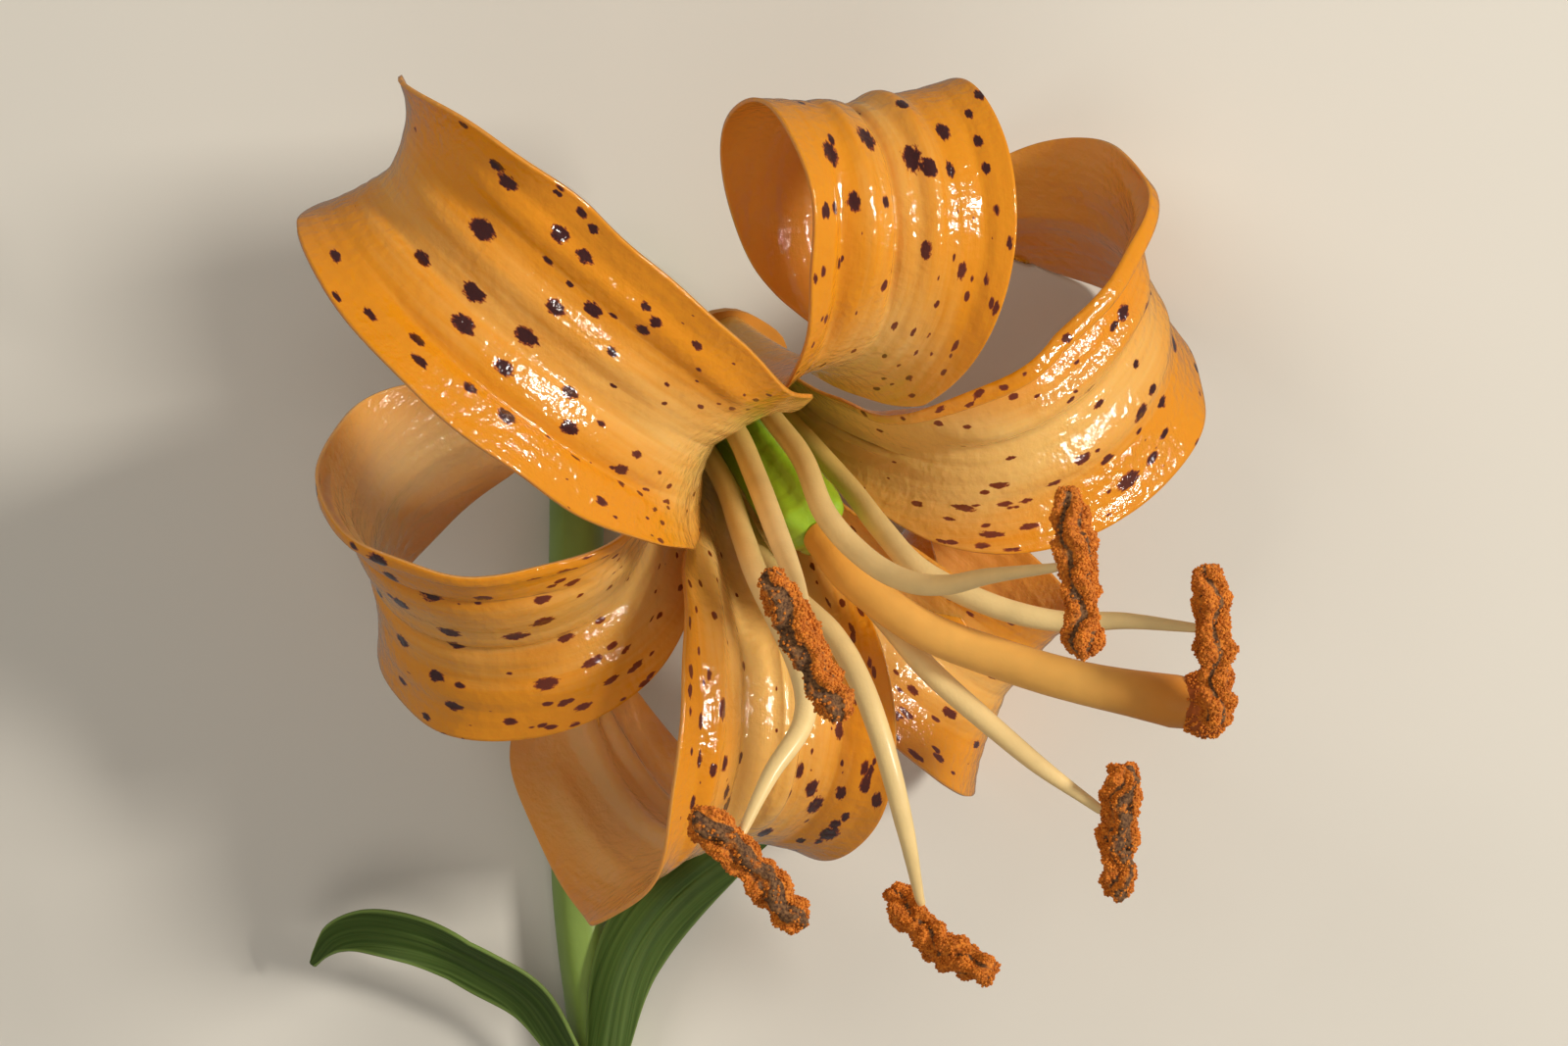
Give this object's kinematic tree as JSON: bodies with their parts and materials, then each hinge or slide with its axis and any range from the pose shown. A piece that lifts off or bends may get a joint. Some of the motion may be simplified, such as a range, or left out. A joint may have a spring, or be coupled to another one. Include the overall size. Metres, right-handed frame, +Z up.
{
  "type": "hybrid lily flower",
  "caption": "Cut lily bloom lying on its stem: rolled-back spotted orange petals, long stamens, pistil and narrow leaves.",
  "frame": {"origin": "centre of the bounding box at the surface that the flower lies on", "axes": "+Z up off the surface; the stem runs along Y with its cut end towards -Y; the bloom opens up and towards +X and -Y"},
  "size_m": [0.0716, 0.128, 0.0606],
  "materials": {
    "tepal": "saturated orange petal, satin to glossy, with maroon spots",
    "filament": "smooth pale cream yellow",
    "pollen": "rough rust-orange pollen grains over a dark brown anther",
    "style": "smooth satin orange-yellow",
    "ovary": "wet-looking yellow green",
    "leaf": "dark green, fine lengthwise veins",
    "stem": "satin pale green"
  },
  "bodies": {
    "root": {"petal_upper_left": "tepal", "petal_right": "tepal", "petal_bottom": "tepal", "sepal_top": "tepal", "sepal_left": "tepal", "sepal_lower_right": "tepal", "filament_1": "filament", "filament_2": "filament", "filament_3": "filament", "filament_4": "filament", "filament_5": "filament", "filament_6": "filament", "anther_1": "pollen", "anther_2": "pollen", "anther_3": "pollen", "anther_4": "pollen", "anther_5": "pollen", "anther_6": "pollen", "ovary": "ovary", "style": "style", "stigma": "pollen", "stem": "stem", "leaf_left": "leaf", "leaf_right": "leaf"}
  },
  "joints": []
}
